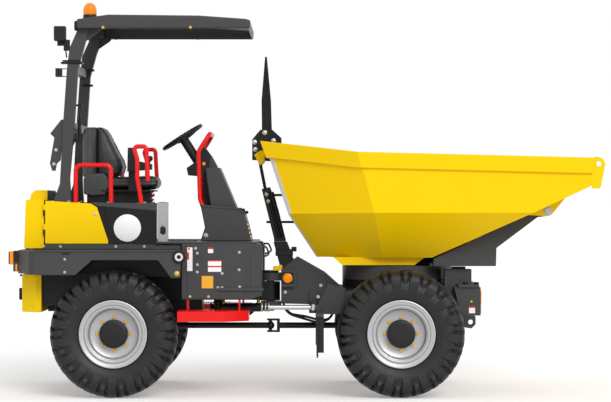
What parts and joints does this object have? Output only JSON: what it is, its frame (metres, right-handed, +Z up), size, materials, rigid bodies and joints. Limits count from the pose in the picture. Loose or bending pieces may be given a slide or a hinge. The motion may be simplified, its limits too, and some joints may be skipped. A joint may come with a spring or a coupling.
{
  "type": "articulated site dumper",
  "caption": "Centre-articulated site dumper with a swivelling, forward-tipping skip, two-post canopy and lugged tyres.",
  "frame": {"origin": "on the ground, at the centre of the machine's outline", "axes": "+X forward towards the skip, +Y the machine's left, +Z up"},
  "size_m": [4.24, 1.8002, 2.832],
  "materials": {
    "yellow_paint": "gloss",
    "dark_grey_paint": "satin",
    "black_paint": "satin",
    "red_paint": "gloss",
    "silver_rim": "satin",
    "tyre_rubber": "matt",
    "black_plastic": "matt",
    "seat_vinyl": "satin",
    "orange_lens": "gloss",
    "steel": "satin",
    "engine_grey": "matt"
  },
  "bodies": {
    "rear_chassis": {"rear_frame": "black_paint", "counterweight": "yellow_paint", "rear_fenders": "dark_grey_paint", "engine_cover": "black_paint", "engine_block": "engine_grey", "side_cabinets": "dark_grey_paint", "platform_floor": "dark_grey_paint", "access_steps": "red_paint", "control_console": "dark_grey_paint", "steering_column": "black_plastic", "seat_base": "black_plastic", "seat_cushion": "seat_vinyl", "seat_back": "seat_vinyl", "handrails": "red_paint", "canopy_posts": "dark_grey_paint", "canopy_roof": "dark_grey_paint", "beacon": "orange_lens", "work_lamp": "black_plastic", "rear_lamps": "black_plastic", "rear_axle": "black_paint"},
    "cowl": {"rear_cowl": "yellow_paint"},
    "door_right": {"service_door_right": "yellow_paint"},
    "door_left": {"service_door_left": "yellow_paint"},
    "steering": {"steering_wheel": "black_plastic"},
    "front_chassis": {"front_frame": "dark_grey_paint", "slew_ring": "black_paint", "front_lamps": "dark_grey_paint", "mud_flaps": "black_plastic", "front_axle": "black_paint"},
    "swivel": {"swivel_frame": "dark_grey_paint"},
    "skip": {"skip_shell": "yellow_paint", "skip_rim": "yellow_paint", "skip_guard": "black_paint"},
    "steer_cylinder": {"steer_barrel": "black_paint"},
    "steer_cylinder_rod": {"steer_rod": "steel"},
    "tip_cylinder": {"tip_barrel": "black_paint"},
    "tip_cylinder_rod": {"tip_rod": "steel"},
    "wheel_front_right": {"tyre_front_right": "tyre_rubber", "rim_front_right": "silver_rim"},
    "wheel_front_left": {"tyre_front_left": "tyre_rubber", "rim_front_left": "silver_rim"},
    "wheel_rear_right": {"tyre_rear_right": "tyre_rubber", "rim_rear_right": "silver_rim"},
    "wheel_rear_left": {"tyre_rear_left": "tyre_rubber", "rim_rear_left": "silver_rim"}
  },
  "joints": [
    {"name": "articulation", "type": "hinge", "parent": "rear_chassis", "child": "front_chassis", "pos_m": [-0.26, 0, 0.73], "axis": [0, 0, 1], "range_deg": [-33, 33]},
    {"name": "skip_swivel", "type": "hinge", "parent": "front_chassis", "child": "swivel", "pos_m": [0.678, 0, 0.82], "axis": [0, 0, -1], "range_deg": [-90, 90]},
    {"name": "skip_tip", "type": "hinge", "parent": "swivel", "child": "skip", "pos_m": [1.747, 0, 1.325], "axis": [0, 1, 0], "range_deg": [0, 60]},
    {"name": "steering_wheel_turn", "type": "hinge", "parent": "rear_chassis", "child": "steering", "pos_m": [-0.913, 0, 1.869], "axis": [-0.5361, 0, 0.8442], "continuous": true},
    {"name": "cowl_hinge", "type": "hinge", "parent": "rear_chassis", "child": "cowl", "pos_m": [-2.036, 0, 1.06], "axis": [0, -1, 0], "range_deg": [0, 70]},
    {"name": "door_right_hinge", "type": "hinge", "parent": "rear_chassis", "child": "door_right", "pos_m": [-1.88, -0.56, 1.2], "axis": [0, 0, -1], "range_deg": [0, 100]},
    {"name": "door_left_hinge", "type": "hinge", "parent": "rear_chassis", "child": "door_left", "pos_m": [-1.88, 0.56, 1.2], "axis": [0, 0, 1], "range_deg": [0, 100]},
    {"name": "wheel_front_right_spin", "type": "hinge", "parent": "front_chassis", "child": "wheel_front_right", "pos_m": [0.678, -0.748, 0.454], "axis": [0, 1, 0], "continuous": true},
    {"name": "wheel_front_left_spin", "type": "hinge", "parent": "front_chassis", "child": "wheel_front_left", "pos_m": [0.678, 0.748, 0.454], "axis": [0, 1, 0], "continuous": true},
    {"name": "wheel_rear_right_spin", "type": "hinge", "parent": "rear_chassis", "child": "wheel_rear_right", "pos_m": [-1.36, -0.748, 0.454], "axis": [0, 1, 0], "continuous": true},
    {"name": "wheel_rear_left_spin", "type": "hinge", "parent": "rear_chassis", "child": "wheel_rear_left", "pos_m": [-1.36, 0.748, 0.454], "axis": [0, 1, 0], "continuous": true},
    {"name": "steer_cylinder_pivot", "type": "hinge", "parent": "rear_chassis", "child": "steer_cylinder", "pos_m": [-0.64, -0.25, 0.618], "axis": [0, 0, 1], "range_deg": [-17, 17]},
    {"name": "steer_cylinder_stroke", "type": "slide", "parent": "steer_cylinder", "child": "steer_cylinder_rod", "axis": [1, 0, 0], "range_m": [-0.15, 0.15]},
    {"name": "tip_cylinder_pivot", "type": "hinge", "parent": "swivel", "child": "tip_cylinder", "pos_m": [0.48, 0, 0.82], "axis": [0, -1, 0], "range_deg": [0, 35]},
    {"name": "tip_cylinder_stroke", "type": "slide", "parent": "tip_cylinder", "child": "tip_cylinder_rod", "axis": [0.9606, 0, 0.2781], "range_m": [0, 0.33]}
  ],
  "couplings": [
    {"joint": "steer_cylinder_pivot", "follows": "articulation", "ratio": 0.4539},
    {"joint": "steer_cylinder_stroke", "follows": "articulation", "m_per_rad": 0.2465},
    {"joint": "tip_cylinder_pivot", "follows": "skip_tip", "ratio": 0.5022},
    {"joint": "tip_cylinder_stroke", "follows": "skip_tip", "m_per_rad": 0.3037}
  ]
}
